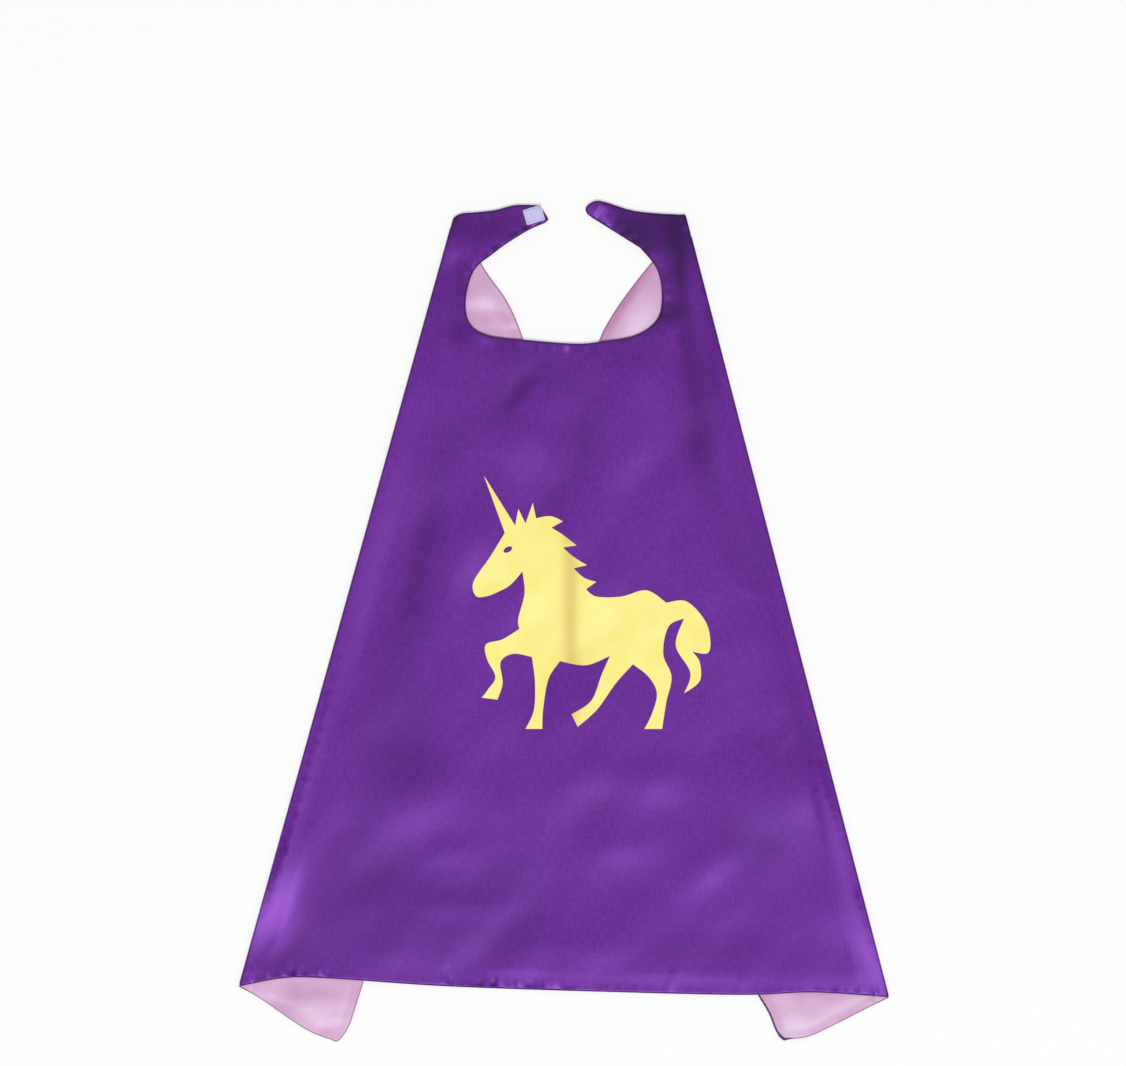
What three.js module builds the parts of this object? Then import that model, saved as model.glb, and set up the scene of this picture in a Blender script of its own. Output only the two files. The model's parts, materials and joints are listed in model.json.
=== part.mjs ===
// A child's reversible satin cape, laid flat on its underside. Both front edges are folded under
// the back panel along a straight line from shoulder to hem, and two neck tabs, each with a square
// of hook or loop tape, reach round above the neck opening.
// Millimetres. +Z is up, +Y runs from the hem to the neck, the origin is under the middle.
import * as THREE from "three";

// ---- driving sizes ------------------------------------------------------------------------
const LENGTH = 620;            // from the widest level of the neck opening down to the hem
const HEM_WIDTH = 580.4;       // between the two fold lines at the hem
const NECK_WIDTH = 175.7;      // widest part of the neck opening
const NECK_DEPTH = 42.8;       // from the widest level down to the back of the neck
const NECK_RISE = 43.3;        // from the widest level up to the neck end of a tab's root
const TAB_LENGTH = 59;         // from root to tip
const LEFT_TAB_WIDTH = 40.2;   // across the root
const RIGHT_TAB_WIDTH = 35.1;
const LEFT_FLAP_WIDTH = 106;   // from fold line to front edge
const RIGHT_FLAP_WIDTH = 112;
const TAPE_WIDTH = 17;
const TAPE_HEIGHT = 14;
const EMBLEM_HEIGHT = 226;

// ---- cloth, thread and tape ---------------------------------------------------------------
const CLOTH = 0.6;             // one layer of satin
const LAYER_GAP = 0.3;         // air between the outer satin and the lining
const FOLD_SPACE = 1.0;        // air between a folded-under flap and the back panel
const TRIM_GAP = 0.3;          // air between the cloth and what is sewn or pressed onto it
const FOIL = 0.3;              // the emblem's film
const STITCH = 0.3;            // height of a line of stitches
const THREAD = 0.5;            // width of a line of stitches
const TAPE = 1.2;              // thickness of the hook tape and the loop tape
const SEAM = 0.6;              // width of the rolled seam along an edge
const SEAM_GAP = 0.3;          // from the cloth's edge to the rolled seam
const SEAM_END = 1.5;          // from a bend or fold line to the end of a rolled seam
const FOLD_CLEARANCE = 0.4;    // from the fold line to the flap's own edge
const ROOT_CLEARANCE = 0.3;    // from a tab's bend line to the cloth on either side
const STITCH_INSET = 1.6;      // from the tape's edge to its line of stitches
const TAPE_ROUND = 1.2;        // radius of the tape's corners
const CURVE_STEPS = 8;         // straight steps per point of a curved stretch

const PLY = 2 * CLOTH + LAYER_GAP;
const BACK_Z = PLY + FOLD_SPACE;
const TRIM_Z = BACK_Z + PLY + TRIM_GAP;     // underside of what lies on the outer satin
const UNDER_Z = BACK_Z - TRIM_GAP;          // top of what hangs under the lining

// ---- points and frames ----------------------------------------------------------------------
const point = (x, y) => new THREE.Vector2(x, y);

/** A frame in the plane: points are given along its first direction and across it. */
function frame(origin, along, across) {
  return (a, b) => origin.clone().addScaledVector(along, a).addScaledVector(across, b);
}

// ---- the two sides: the cape lies a little askew, so they differ -----------------------------
// Points of the neck opening are shares of half its width and of its depth or rise.
const neckPoint = (x, y) => point((x * NECK_WIDTH) / 2, y < 0 ? y * NECK_DEPTH : y * NECK_RISE);

/** One side's fold line, shoulder and tab root. Its sign is -1 on the left and 1 on the right. */
function makeSide({ sign, strap, foldTop, hemDrop, rootOut, rootUp, rootNeck }) {
  const top = point(sign * (NECK_WIDTH / 2 + strap), foldTop);
  const hem = point((sign * HEM_WIDTH) / 2, -LENGTH - hemDrop);
  const up = top.clone().sub(hem).normalize();
  const inward = point(-sign * up.y, sign * up.x);
  const rootTop = top.clone().add(point(-sign * rootOut, rootUp));
  const neck = neckPoint(...rootNeck);
  const rootDirection = rootTop.clone().sub(neck).normalize();
  const tabDirection = point(-sign * rootDirection.y, sign * rootDirection.x);
  return {
    top, hem, rootTop, neck, tabDirection,
    fromHem: frame(hem, up, inward),
    fromTop: frame(top, up, inward),
    onTab: frame(neck, tabDirection, rootDirection),
  };
}

const LEFT = makeSide({
  sign: -1, strap: 13.2, foldTop: 62.5, hemDrop: -4.7, rootOut: 20.6, rootUp: 11.7,
  rootNeck: [-0.738, 0.857],
});
const RIGHT = makeSide({
  sign: 1, strap: 26, foldTop: 54, hemDrop: 4.9, rootOut: 26.7, rootUp: 19,
  rootNeck: [0.779, 1],
});

// ---- curved and straight stretches ------------------------------------------------------------
/** The points of a curve that runs on from a first point through the given ones. */
function curve(start, points) {
  if (points.length === 1) return points;
  return new THREE.SplineCurve([start, ...points]).getPoints(points.length * CURVE_STEPS).slice(1);
}

/** One open path from a first point and several stretches, with a corner between stretches. */
function path(first, stretches) {
  const points = [first];
  for (const stretch of stretches) points.push(...curve(points[points.length - 1], stretch));
  return points;
}

/** A path moved sideways, to its right when walked from its start, with mitred corners. */
function moved(points, distance) {
  return points.map((here, i) => {
    const into = here.clone().sub(points[Math.max(i - 1, 0)]);
    const out = points[Math.min(i + 1, points.length - 1)].clone().sub(here);
    if (i === 0) into.copy(out);
    if (i === points.length - 1) out.copy(into);
    const middle = into.normalize().clone().add(out.normalize()).normalize();
    const reach = distance / Math.max(middle.dot(into), 0.5);
    return point(here.x + middle.y * reach, here.y - middle.x * reach);
  });
}

/** A path with a short length cut off its start. */
function startCut(points, length) {
  let left = length;
  let i = 0;
  while (points[i].distanceTo(points[i + 1]) < left) {
    left -= points[i].distanceTo(points[i + 1]);
    i += 1;
  }
  const step = points[i + 1].clone().sub(points[i]).setLength(left);
  return [points[i].clone().add(step), ...points.slice(i + 1)];
}

/** A path cut back by the same short length at both ends. */
function shortened(points, length) {
  const fromEnd = startCut(points, length).reverse();
  return startCut(fromEnd, length).reverse();
}

// ---- edges: each runs anticlockwise round its region, so the outside is on its right -----------
/** A point of the hem: a share of the way from left to right, and its lift above the chord. */
function hemPoint(share, lift) {
  const chord = LEFT.hem.clone().lerp(RIGHT.hem, share);
  return chord.add(point(0, lift));
}

const hemEdge = path(LEFT.hem, [[
  hemPoint(0.073, 8.4), hemPoint(0.149, 8.3), hemPoint(0.324, 3.1), hemPoint(0.555, 0.7),
  hemPoint(0.77, -0.1), hemPoint(0.884, 3.2), RIGHT.hem,
]]);

const neckEdge = path(RIGHT.neck, [[
  neckPoint(0.949, 0.56), neckPoint(1, 0), neckPoint(0.949, -0.493), neckPoint(0.735, -0.818),
  neckPoint(0.385, -0.953), neckPoint(0.113, -1), neckPoint(-0.391, -0.921),
  neckPoint(-0.78, -0.818), neckPoint(-0.965, -0.551), neckPoint(-1, -0.047),
  neckPoint(-0.916, 0.54), LEFT.neck,
]]);

const shoulderPoint = (side, x, y) => side.top.clone().add(point(x, y));
const rightShoulderEdge = path(
  RIGHT.top, [[shoulderPoint(RIGHT, -4.4, 16.6), shoulderPoint(RIGHT, -11.8, 18.3), RIGHT.rootTop]],
);
const leftShoulderEdge = path(
  LEFT.rootTop, [[shoulderPoint(LEFT, 9.5, 10.7), shoulderPoint(LEFT, 2.6, 6.5), LEFT.top]],
);

// A tab's points are shares of its length from the root, and of its root's width from the neck.
const leftTab = (a, b) => LEFT.onTab(a * TAB_LENGTH, b * LEFT_TAB_WIDTH);
const rightTab = (a, b) => RIGHT.onTab(a * TAB_LENGTH, b * RIGHT_TAB_WIDTH);
const leftTabEdge = path(LEFT.neck, [
  [leftTab(0.27, 0.1), leftTab(0.67, 0.19), leftTab(0.93, 0.195)],
  [leftTab(1, 0.23)],
  [leftTab(0.96, 0.58)],
  [leftTab(0.63, 0.79), leftTab(0.3, 0.87), LEFT.rootTop],
]);
const rightTabEdge = path(RIGHT.rootTop, [[
  rightTab(0.4, 0.675), rightTab(0.81, 0.49), rightTab(0.956, 0.37), rightTab(1.014, 0.13),
  rightTab(0.934, 0.01), rightTab(0.695, 0), rightTab(0.35, 0), RIGHT.neck,
]]);

// A flap's points lie along its fold line, from the hem up or from the top down, and inward from
// it by a share of the flap's width.
const leftLow = (a, share) => LEFT.fromHem(a, share * LEFT_FLAP_WIDTH);
const leftHigh = (a, share) => LEFT.fromTop(a, share * LEFT_FLAP_WIDTH);
const rightLow = (a, share) => RIGHT.fromHem(a, share * RIGHT_FLAP_WIDTH);
const rightHigh = (a, share) => RIGHT.fromTop(a, share * RIGHT_FLAP_WIDTH);
const leftFlapEdge = path(LEFT.hem, [
  [leftLow(-4.8, 0.185), leftLow(-20.8, 0.645), leftLow(-23.7, 0.871)],
  [leftLow(-23.7, 0.924), leftLow(-15.2, 0.965), leftLow(-4.7, 0.987)],
  [leftLow(32.6, 1)],
  [leftHigh(-158.2, 1.056)],
  [leftHigh(-121.5, 1.067), leftHigh(-79.6, 0.838), leftHigh(-52, 0.629), leftHigh(-26.8, 0.347),
    leftHigh(8.3, 0.054)],
]);
const rightFlapEdge = path(rightHigh(0, 0.06), [
  [rightHigh(-15.5, 0.37), rightHigh(-64.2, 0.879), rightHigh(-111.7, 1.097)],
  [rightHigh(-148.2, 1.087)],
  [rightLow(30.9, 1)],
  [rightLow(13.6, 0.953), rightLow(-4.6, 0.93), rightLow(-12.4, 0.891)],
  [rightLow(-16, 0.713), rightLow(-11.6, 0.481), rightLow(-4.3, 0.178), RIGHT.hem],
]);

// ---- outlines of the five regions --------------------------------------------------------------
/** A straight line held off to its left by a clearance. */
const heldOff = (a, b, clearance) => moved([a, b], -clearance);

const backOutline = [
  ...hemEdge,
  ...rightShoulderEdge.slice(0, -1),
  ...heldOff(RIGHT.rootTop, RIGHT.neck, ROOT_CLEARANCE),
  ...neckEdge.slice(1, -1),
  ...heldOff(LEFT.neck, LEFT.rootTop, ROOT_CLEARANCE),
  ...leftShoulderEdge.slice(1),
];
const leftFlapOutline = [...heldOff(LEFT.top, LEFT.hem, FOLD_CLEARANCE), ...leftFlapEdge.slice(1)];
const rightFlapOutline = [
  ...rightFlapEdge.slice(0, -1),
  ...heldOff(RIGHT.hem, RIGHT.top, FOLD_CLEARANCE),
];
const leftTabOutline = [
  ...heldOff(LEFT.rootTop, LEFT.neck, ROOT_CLEARANCE),
  ...leftTabEdge.slice(1, -1),
];
const rightTabOutline = [
  ...heldOff(RIGHT.neck, RIGHT.rootTop, ROOT_CLEARANCE),
  ...rightTabEdge.slice(1, -1),
];

// ---- solids ---------------------------------------------------------------------------------------
/** A flat slab: an outline, with any holes, raised between two heights. */
function slab(outline, bottom, thickness, holes = []) {
  const shape = new THREE.Shape(outline);
  shape.holes = holes.map((hole) => new THREE.Path(hole));
  const geometry = new THREE.ExtrudeGeometry(shape, { depth: thickness, bevelEnabled: false });
  geometry.translate(0, 0, bottom);
  return geometry;
}

/** A strip of even width that follows a path, starting a distance to the path's right. */
function strip(points, distance, width, bottom, thickness) {
  const near = moved(points, distance);
  const far = moved(points, distance + width);
  return slab([...near, ...far.reverse()], bottom, thickness);
}

// ---- finishes ---------------------------------------------------------------------------------------
const finish = (color, roughness, metalness) =>
  new THREE.MeshStandardMaterial({ color, roughness, metalness });
const PURPLE_SATIN = finish("#6b2d96", 0.35, 0);
const PINK_LINING = finish("#d2a8cc", 0.45, 0);
const GOLD_FOIL = finish("#efe08c", 0.3, 0.7);
const LAVENDER_TAPE = finish("#c8c4e7", 0.8, 0);
const PURPLE_THREAD = finish("#4a1a6b", 0.7, 0);
const LAVENDER_THREAD = finish("#a79fd2", 0.7, 0);

// ---- the pieces ---------------------------------------------------------------------------------------
const cape = new THREE.Group();
cape.name = "cape";

function add(name, geometry, material) {
  const mesh = new THREE.Mesh(geometry, material);
  mesh.name = name;
  cape.add(mesh);
}

/** Outer satin and lining of one region; a folded-under region has its lining on top. */
function twoLayers(name, outline, bottom, liningOnTop) {
  const upper = bottom + CLOTH + LAYER_GAP;
  add(`${name}_satin`, slab(outline, liningOnTop ? bottom : upper, CLOTH), PURPLE_SATIN);
  add(`${name}_lining`, slab(outline, liningOnTop ? upper : bottom, CLOTH), PINK_LINING);
}

twoLayers("back", backOutline, BACK_Z, false);
twoLayers("left_flap", leftFlapOutline, 0, true);
twoLayers("right_flap", rightFlapOutline, 0, true);
twoLayers("left_tab", leftTabOutline, BACK_Z, false);
twoLayers("right_tab", rightTabOutline, BACK_Z, false);

/** The rolled seam that joins both layers along one stretch of edge, short of the bends it meets. */
function edgeSeam(name, edge, bottom) {
  const stretch = shortened(edge, SEAM_END);
  add(name, strip(stretch, SEAM_GAP, SEAM, bottom, PLY), PURPLE_THREAD);
}

edgeSeam("hem_seam", hemEdge, BACK_Z);
edgeSeam("neck_seam", neckEdge, BACK_Z);
edgeSeam("left_shoulder_seam", leftShoulderEdge, BACK_Z);
edgeSeam("right_shoulder_seam", rightShoulderEdge, BACK_Z);
edgeSeam("left_tab_seam", leftTabEdge, BACK_Z);
edgeSeam("right_tab_seam", rightTabEdge, BACK_Z);
edgeSeam("left_front_seam", leftFlapEdge, 0);
edgeSeam("right_front_seam", rightFlapEdge, 0);

/** The outline of a square of tape with rounded corners, drawn in from its edge by an inset. */
function tapeOutline(centre, turn, inset) {
  const w = TAPE_WIDTH / 2 - inset;
  const h = TAPE_HEIGHT / 2 - inset;
  const r = Math.max(TAPE_ROUND - inset, CLOTH);
  const corners = [[w - r, -h + r], [w - r, h - r], [-w + r, h - r], [-w + r, -h + r]];
  const outline = new THREE.Path();
  corners.forEach(([x, y], i) => {
    outline.absarc(x, y, r, ((i - 1) * Math.PI) / 2, (i * Math.PI) / 2, false);
  });
  return outline.getPoints(CURVE_STEPS).map((p) => p.rotateAround(point(0, 0), turn).add(centre));
}

/** A square of tape sewn to one face of a tab, with its stitches showing on the other face. */
function tape(name, centre, turn, bottom, stitchBottom) {
  add(`${name}_tape`, slab(tapeOutline(centre, turn, 0), bottom, TAPE), LAVENDER_TAPE);
  const outer = tapeOutline(centre, turn, STITCH_INSET);
  const inner = tapeOutline(centre, turn, STITCH_INSET + THREAD);
  add(`${name}_stitches`, slab(outer, stitchBottom, STITCH, [inner]), LAVENDER_THREAD);
}

// The hook tape is on top of the left tab, the loop tape underneath the right one.
const HOOK_FROM_TIP = 10.2;
const LOOP_FROM_TIP = 16.7;
const HOOK_ASKEW = THREE.MathUtils.degToRad(-6);
const hookCentre = LEFT.onTab(TAB_LENGTH - HOOK_FROM_TIP, 0.44 * LEFT_TAB_WIDTH);
const loopCentre = RIGHT.onTab(TAB_LENGTH - LOOP_FROM_TIP, 0.235 * RIGHT_TAB_WIDTH);
tape("hook", hookCentre, LEFT.tabDirection.angle() + HOOK_ASKEW, TRIM_Z, UNDER_Z - STITCH);
tape("loop", loopCentre, RIGHT.tabDirection.angle(), UNDER_Z - TAPE, TRIM_Z);

// ---- emblem: a horned horse stepping to the left -----------------------------------------------------
// Each row is one curved or straight stretch of its outline, on a drawing 243 units high.
const DRAWING_HEIGHT = 243;
const EMBLEM_OUTLINE = [
  [[53, 211]], [[50, 195]],                                   // forelock
  [[20, 243]], [[40, 188]],                                   // horn
  [[26, 165], [10, 141], [13, 127], [26, 128]],               // face and muzzle
  [[44, 137], [57, 151]],                                     // cheek
  [[59, 130], [53, 106], [54, 96]],                           // throat and chest
  [[38, 86], [22, 81], [23, 67], [31, 50], [24, 38], [18, 30]], // raised foreleg
  [[33, 28]], [[38, 44], [36, 64], [48, 72], [66, 69]],
  [[69, 45], [68, 18], [60, 0]], [[76, 0]],                   // standing foreleg
  [[77, 20], [82, 48], [93, 65]],
  [[118, 61], [141, 70]],                                     // belly
  [[133, 52], [123, 27], [104, 14]], [[110, 2]],              // hind leg, pushing off
  [[129, 19], [146, 43], [163, 62]],
  [[178, 50], [186, 34], [181, 14], [174, 0]], [[191, 0]],    // hind leg, standing
  [[195, 26], [200, 50], [192, 72], [197, 98], [212, 106]],
  [[204, 80], [218, 54], [212, 34]],                          // tail
  [[227, 46], [227, 64], [220, 74]],
  [[236, 74], [234, 100], [215, 122], [195, 121]],
  [[176, 133], [152, 127], [128, 127], [118, 134]],           // back
  [[128, 141]], [[116, 145], [106, 154]],                     // mane
  [[119, 157]], [[106, 165], [96, 174]],
  [[109, 176]], [[96, 186], [85, 193]],
  [[96, 199]], [[84, 204], [70, 202]],
  [[67, 217]], [[60, 197]],                                   // ear
];
const EYE = { x: 43, y: 172, long: 4.2, short: 2.4, turn: 0.5 };
const EMBLEM_LEFT = -90;       // from the neck's middle to the drawing's left side
const EMBLEM_BELOW = 160;      // from the widest level of the neck down to the tip of the horn

function emblem() {
  const scale = EMBLEM_HEIGHT / DRAWING_HEIGHT;
  const placed = (x, y) => point(EMBLEM_LEFT + x * scale, (y - DRAWING_HEIGHT) * scale - EMBLEM_BELOW);
  const stretches = EMBLEM_OUTLINE.map((row) => row.map(([x, y]) => placed(x, y)));
  const start = stretches[stretches.length - 1][0];
  const outline = path(start, stretches).slice(1);
  const eye = new THREE.Path();
  const centre = placed(EYE.x, EYE.y);
  eye.absellipse(centre.x, centre.y, EYE.long, EYE.short, 0, 2 * Math.PI, false, EYE.turn);
  return slab(outline, TRIM_Z, FOIL, [eye.getPoints(CURVE_STEPS * 2).slice(1)]);
}

add("emblem", emblem(), GOLD_FOIL);

// ---- put the origin under the middle of the whole cape --------------------------------------------------
const box = new THREE.Box3().setFromObject(cape);
const middle = box.getCenter(new THREE.Vector3());
for (const mesh of cape.children) mesh.geometry.translate(-middle.x, -middle.y, -box.min.z);

export default cape;
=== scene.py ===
"""A child's satin cape, laid flat with both front edges folded under, around its CAD frame.

The outer satin and the lining are each one cloth pattern, meshed flat and then folded into
place, so the weave and the shading run on across every fold. Each is cut into pieces only
where a joint needs it. Lengths are in metres, and MM is one millimetre.
"""
import json
import math

import bpy
import numpy as np
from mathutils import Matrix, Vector
from mathutils.geometry import delaunay_2d_cdt
from mathutils.kdtree import KDTree

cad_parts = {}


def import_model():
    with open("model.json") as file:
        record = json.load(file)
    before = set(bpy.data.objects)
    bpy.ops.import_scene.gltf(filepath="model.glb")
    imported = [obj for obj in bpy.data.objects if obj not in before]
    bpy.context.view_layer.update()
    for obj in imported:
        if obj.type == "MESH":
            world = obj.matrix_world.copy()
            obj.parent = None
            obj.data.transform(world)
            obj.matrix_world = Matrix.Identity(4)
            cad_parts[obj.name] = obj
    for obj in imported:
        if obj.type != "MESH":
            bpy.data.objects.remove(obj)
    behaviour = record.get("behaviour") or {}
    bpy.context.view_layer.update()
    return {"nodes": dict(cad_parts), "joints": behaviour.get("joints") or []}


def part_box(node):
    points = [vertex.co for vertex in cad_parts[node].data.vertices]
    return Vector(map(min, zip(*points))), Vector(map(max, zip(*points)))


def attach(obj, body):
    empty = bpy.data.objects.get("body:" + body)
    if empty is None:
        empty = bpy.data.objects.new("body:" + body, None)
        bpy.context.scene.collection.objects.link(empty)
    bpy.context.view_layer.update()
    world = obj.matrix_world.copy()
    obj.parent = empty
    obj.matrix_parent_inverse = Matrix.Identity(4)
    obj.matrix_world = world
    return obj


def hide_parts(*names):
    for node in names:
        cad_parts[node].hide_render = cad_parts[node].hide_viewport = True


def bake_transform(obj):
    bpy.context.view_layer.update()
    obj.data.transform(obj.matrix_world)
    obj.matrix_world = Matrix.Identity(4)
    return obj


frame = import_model()

MM = 0.001
BACK = "back"
SIDES = ("left", "right")

# ---- cloth: heights of the middle of the two layers, and how they part
BACK_Z = 3.25 * MM  # middle of the back panel
FLAP_Z = 0.75 * MM  # middle of a folded-under flap
FOLD_Z = (BACK_Z + FLAP_Z) / 2
FOLD_R = (BACK_Z - FLAP_Z) / 2
OUTER = 0.75 * MM  # from the middle to a layer's outer face
INNER = 0.45 * MM  # and to its inner face
ARC_IN = FOLD_R + OUTER  # the fold's centre line, inboard of the fold's outer edge
ARC_LENGTH = math.pi * FOLD_R  # the cloth that a fold's turn takes up
ROLL = 1.3 * MM  # width over which an edge rolls round to its seam
FOIL = (0.02 * MM, 0.2 * MM)  # the foil's lower and upper face above the satin
STRIP = 12 * MM  # cloth on each side of a fold, in a piece of its own
ROOT_STRIP = 9 * MM  # cloth inboard of a tab's bend line, in one piece with the tab
BLEND_LENGTH = 6 * MM  # reach either side of a tab's bend line, for two points that are worked out but not used
TABS_Y = 300 * MM  # the shoulders and tabs lie above this

# ---- seams, tapes and their stitches
SEAM_R = 0.38 * MM  # radius of the roll along an edge
SEAM_TALL = (1.25, 1.7)  # the roll's height to its width, and the most in SEAM_Rs
SEAM_OUT = 0.15 * MM  # from the edge of the cloth to the roll's centre line
SEAM_PLY = 0.8 * MM  # how fast the roll's thickness ripples along it
FLAP_SEAM = 0.55  # how full the roll is on a flap; it is 1 elsewhere
FRONT_SEAM = 2.4  # and how much more where the right flap's front shows satin
KNOT_XY = (0.1965, -0.369)  # the right flap's corner, where the seam is bunched up
KNOT = (3.2, 4 * MM)  # how much fuller the roll is there, and over what reach
TABLE_GAP = 0.03 * MM  # the least that a roll stands clear of the table
TAPE_BASE = 0.75 * MM  # from the satin to the tape's woven base
TAPE_TOP = OUTER + 1.15 * MM  # from the cloth's middle to the top of the pile
TAPE_STEP = (0.7 * MM, 0.62 * MM)  # mesh spacing: along its edge, and inside
STITCH_IN = 1.5 * MM  # from a tape's edge to its stitches
STITCH_PITCH = 2.5 * MM
STITCH_LENGTH = 1.9 * MM
STITCH_ROWS = 6  # points along one stitch
STITCH_R = (0.24 * MM, 0.2 * MM)  # a stitch's half width and half height

# ---- mesh spacing
EDGE_STEP = 2.4 * MM
FIRST_ROWS = (0.35 * MM, 0.8 * MM, 1.5 * MM)  # rows of points just inside an edge
FINE_STEP = 2.6 * MM
COARSE_STEP = 4.6 * MM
HEX_ROW = 0.866  # a triangle grid's row height, as a share of its step
FINE_BAND = 24 * MM  # the puckers lie this close to an edge
ARC_ROWS = 9  # rows of points round a fold
CUT_STEP = 3 * MM  # spacing of points along a fold's rows and cuts
FOLD_REACH = 0.40  # half the length of a fold's rows and cuts
TAB_REACH = 30 * MM  # half a tab's cut; a tab's flatter lie starts this far before its bend
ROW_CLEAR = 1.4 * MM  # the least from a fold's rows to other points
CUT_CLEAR = 1.2 * MM  # and from a cut
LONG_EDGE = 20 * MM  # an outline's edges on a bend line are longer
ON_LINE = 1 * MM  # and this close to it
SAME = 1e-5  # heights closer than this are one height
WELD = 1e-7  # points closer than this are one point


# ==== Frame: outlines and bend lines
def loops_of(node):
    """The closed outlines of a CAD slab's top face, the longest first, each an array of (x, y)."""
    mesh = frame["nodes"][node].data
    top = max(v.co.z for v in mesh.vertices)
    key = {v.index: (round(v.co.x, 6), round(v.co.y, 6)) for v in mesh.vertices if v.co.z > top - SAME}
    after = {}
    for face in mesh.polygons:
        corners = list(face.vertices)
        if not all(v in key for v in corners):
            continue
        ring = [key[v] for v in corners]
        area = sum(a[0] * b[1] - b[0] * a[1] for a, b in zip(ring, ring[1:] + ring[:1]))
        if area < 0:
            ring.reverse()
        for a, b in zip(ring, ring[1:] + ring[:1]):
            if after.get(b) and a in after[b]:
                after[b].remove(a)
            else:
                after.setdefault(a, []).append(b)
    found = []
    while any(after.values()):
        start = next(a for a, ends in after.items() if ends)
        ring = [start]
        while after.get(ring[-1]):
            ring.append(after[ring[-1]].pop())
        found.append(np.array(ring[:-1]))
    return sorted(found, key=len, reverse=True)


class Line:
    """A joint's bend line in the plane. Beyond it, at a positive distance, lies the moving body."""

    def __init__(self, joint):
        self.start = np.array(joint["pos_m"][:2])
        self.along = np.array(joint["axis"][:2]) / np.linalg.norm(joint["axis"][:2])
        self.beyond = np.array([-self.along[1], self.along[0]])

    def distance(self, points):
        return (points - self.start) @ self.beyond

    def point(self, along, distance):
        return self.start + np.outer(along, self.along) + np.outer(distance, self.beyond)


lines = {joint["name"]: Line(joint) for joint in frame["joints"]}
folds = {side: lines[f"{side}_fold"] for side in SIDES}
roots = {side: lines[f"{side}_tab_bend"] for side in SIDES}


def near_tab(points, root):
    """Which points lie on a tab's side of the cape, up by the shoulder."""
    return (points[:, 1] > TABS_Y) & (np.sign(points[:, 0]) == np.sign(root.start[0]))


def stretches(node, near):
    """A region's outline without its long straight edges on the bend lines, as open stretches."""
    ring = loops_of(node)[0]
    ends = np.roll(ring, -1, axis=0)
    long_edge = np.linalg.norm(ends - ring, axis=1) > LONG_EDGE
    on_line = np.zeros(len(ring), bool)
    for line in near:
        close = (abs(line.distance(ring)) < ON_LINE) & (abs(line.distance(ends)) < ON_LINE)
        on_line |= close & long_edge
    cuts = list(np.nonzero(on_line)[0])
    result = []
    for a, b in zip(cuts, cuts[1:] + [cuts[0] + len(ring)]):
        result.append(np.take(ring, range(a + 1, b + 1), axis=0, mode="wrap"))
    return result


def unfolded(points, fold):
    """Points of a flap, turned out about its fold line to where they lie in the flat pattern."""
    distance = fold.distance(points)
    flat = -distance - 2 * ARC_IN + ARC_LENGTH
    return points + np.outer(flat - distance, fold.beyond)


def cape_edge():
    """The flat pattern's edge, anticlockwise, as named stretches."""
    back = stretches("back_satin", list(folds.values()) + list(roots.values()))
    by_height = sorted(back, key=lambda s: s[:, 1].mean())
    hem, neck = by_height[0], by_height[1]
    shoulders = sorted(by_height[2:], key=lambda s: s[:, 0].mean())
    front = {side: unfolded(stretches(f"{side}_flap_satin", [folds[side]])[0], folds[side])[::-1]
             for side in SIDES}
    tab = {side: stretches(f"{side}_tab_satin", [roots[side]])[0] for side in SIDES}
    return [
        ("hem", hem[1:-1]), ("right_front", front["right"]), ("right_shoulder", shoulders[1]),
        ("right_tab", tab["right"]), ("neck", neck), ("left_tab", tab["left"]),
        ("left_shoulder", shoulders[0]), ("left_front", front["left"]),
    ]


def resampled(ring, names, step):
    """A closed outline at even steps, keeping its corners, with each point's stretch name."""
    points, labels = [], []
    for a, b, name in zip(ring, np.roll(ring, -1, axis=0), names):
        count = max(1, round(np.linalg.norm(b - a) / step))
        for share in np.arange(count) / count:
            points.append(a + (b - a) * share)
            labels.append(name)
    return np.array(points), labels


def thinned(points, labels, least):
    """Drops points closer than a least distance to the one before."""
    kept, names = [points[0]], [labels[0]]
    for point, name in zip(points[1:], labels[1:]):
        if np.linalg.norm(point - kept[-1]) >= least:
            kept.append(point)
            names.append(name)
    if np.linalg.norm(kept[0] - kept[-1]) < least:
        kept.pop()
        names.pop()
    return np.array(kept), names


def stepped(ring, step):
    """An unnamed closed outline at even steps."""
    return resampled(ring, [""] * len(ring), step)[0]


# ==== Flat meshing
def inside(points, ring):
    """Which points lie inside a closed outline."""
    within = np.zeros(len(points), bool)
    for (ax, ay), (bx, by) in zip(ring, np.roll(ring, -1, axis=0)):
        if ay == by:
            continue
        crosses = (ay > points[:, 1]) != (by > points[:, 1])
        x = ax + (points[:, 1] - ay) * (bx - ax) / (by - ay)
        within ^= crosses & (points[:, 0] < x)
    return within


def tree_of(points):
    """A search tree over points of the plane."""
    tree = KDTree(len(points))
    for i, (x, y) in enumerate(points):
        tree.insert((x, y, 0), i)
    tree.balance()
    return tree


class Nearest:
    """Distance from any point to a closed outline, and the place along it."""

    def __init__(self, ring, step=0.5 * MM):
        dense = stepped(ring, step)
        gaps = np.linalg.norm(np.roll(dense, -1, axis=0) - dense, axis=1)
        self.places = np.concatenate([[0], np.cumsum(gaps)[:-1]])
        self.tree = tree_of(dense)

    def query(self, points):
        found = [self.tree.find((x, y, 0)) for x, y in points]
        return np.array([f[2] for f in found]), self.places[[f[1] for f in found]]


def hex_grid(low, high, step):
    rows = np.arange(low[1], high[1], step * HEX_ROW)
    columns = np.arange(low[0], high[0], step)
    return np.array([(x + (j % 2) * step / 2, y) for j, y in enumerate(rows) for x in columns])


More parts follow.
